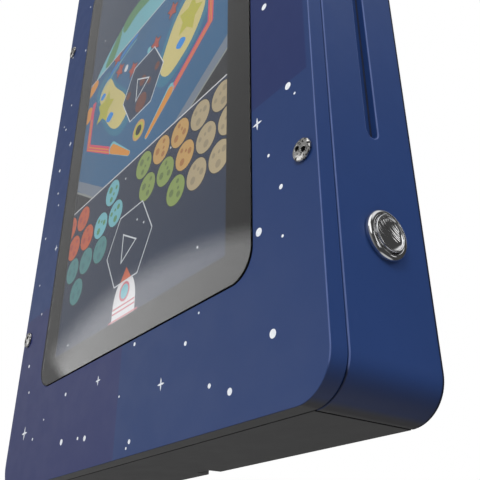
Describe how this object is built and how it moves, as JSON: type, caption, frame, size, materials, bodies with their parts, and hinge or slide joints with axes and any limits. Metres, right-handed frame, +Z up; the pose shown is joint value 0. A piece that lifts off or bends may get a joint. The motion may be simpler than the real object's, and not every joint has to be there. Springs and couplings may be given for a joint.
{
  "type": "wall-mounted touchscreen game machine",
  "caption": "Shallow wall-hung game casing with a portrait touch screen, rounded corners, a chrome push button on each side and a security-screwed front cover.",
  "frame": {"origin": "centre of the flat back face that meets the wall", "axes": "+Y into the wall, so the screen faces -Y; +Z up; +X towards the right side as a player sees it"},
  "size_m": [0.4616, 0.0928, 0.7],
  "materials": {
    "blue_casing": "satin navy blue with a printed star pattern on the cover",
    "charcoal_panel": "fine-textured matt charcoal",
    "back_steel": "powder-coated sheet steel, matt black",
    "touch_glass": "toughened glass with a dark printed border",
    "black_rubber": "closed-cell foam and cable sheath",
    "display_module": "display module in a thin bright metal frame",
    "chrome": "polished",
    "steel": "zinc-plated",
    "black_plastic": "moulded",
    "circuit_board": "green solder mask",
    "aluminium": "extruded, satin"
  },
  "bodies": {
    "casing": {"back_panel": "back_steel", "back_screw_lower_left": "steel", "back_screw_lower_right": "steel", "back_screw_upper_left": "steel", "back_screw_upper_right": "steel", "bottom_panel": "charcoal_panel", "button_bezel_left": "chrome", "button_bezel_right": "chrome", "button_nut_left": "steel", "button_nut_right": "steel", "button_spring_left": "steel", "button_spring_right": "steel", "button_wire_left": "black_rubber", "button_wire_right": "black_rubber", "connector_bay": "steel", "cover_screw_lower_left": "chrome", "cover_screw_lower_right": "chrome", "cover_screw_upper_left": "chrome", "cover_screw_upper_right": "chrome", "display_board": "circuit_board", "display_ribbon": "black_plastic", "front_cover": "blue_casing", "glass_gasket": "black_rubber", "heat_sink": "aluminium", "lcd_panel": "display_module", "lcd_strap_lower": "steel", "lcd_strap_upper": "steel", "main_board": "circuit_board", "mains_wire": "black_rubber", "microswitch_left": "black_plastic", "microswitch_right": "black_plastic", "post_lower_left": "steel", "post_lower_right": "steel", "post_upper_left": "steel", "post_upper_right": "steel", "power_inlet": "black_plastic", "power_supply": "steel", "side_panel_left": "blue_casing", "side_panel_right": "blue_casing", "speaker_left": "black_plastic", "speaker_right": "black_plastic", "speaker_wire_left": "black_rubber", "speaker_wire_right": "black_rubber", "strap_screw_lower_left": "steel", "strap_screw_lower_right": "steel", "strap_screw_upper_left": "steel", "strap_screw_upper_right": "steel", "supply_wire": "black_rubber", "switch_holder_left": "black_plastic", "switch_holder_right": "black_plastic", "top_panel": "charcoal_panel", "touch_glass": "touch_glass"},
    "left_cap": {"button_cap_left": "chrome"},
    "left_plunger": {"switch_plunger_left": "black_plastic"},
    "right_cap": {"button_cap_right": "chrome"},
    "right_plunger": {"switch_plunger_right": "black_plastic"}
  },
  "joints": [
    {"name": "button_press_left", "type": "slide", "parent": "casing", "child": "left_cap", "axis": [1, 0, 0], "range_m": [0, 0.0025], "stiffness_N_per_m": 300, "springref_m": -0.003, "deforming": ["button_spring_left"]},
    {"name": "switch_press_left", "type": "slide", "parent": "casing", "child": "left_plunger", "axis": [1, 0, 0], "range_m": [0, 0.0025]},
    {"name": "button_press_right", "type": "slide", "parent": "casing", "child": "right_cap", "axis": [-1, 0, 0], "range_m": [0, 0.0025], "stiffness_N_per_m": 300, "springref_m": -0.003, "deforming": ["button_spring_right"]},
    {"name": "switch_press_right", "type": "slide", "parent": "casing", "child": "right_plunger", "axis": [-1, 0, 0], "range_m": [0, 0.0025]}
  ],
  "couplings": [
    {"joint": "switch_press_left", "follows": "button_press_left", "ratio": 1},
    {"joint": "switch_press_right", "follows": "button_press_right", "ratio": 1}
  ]
}
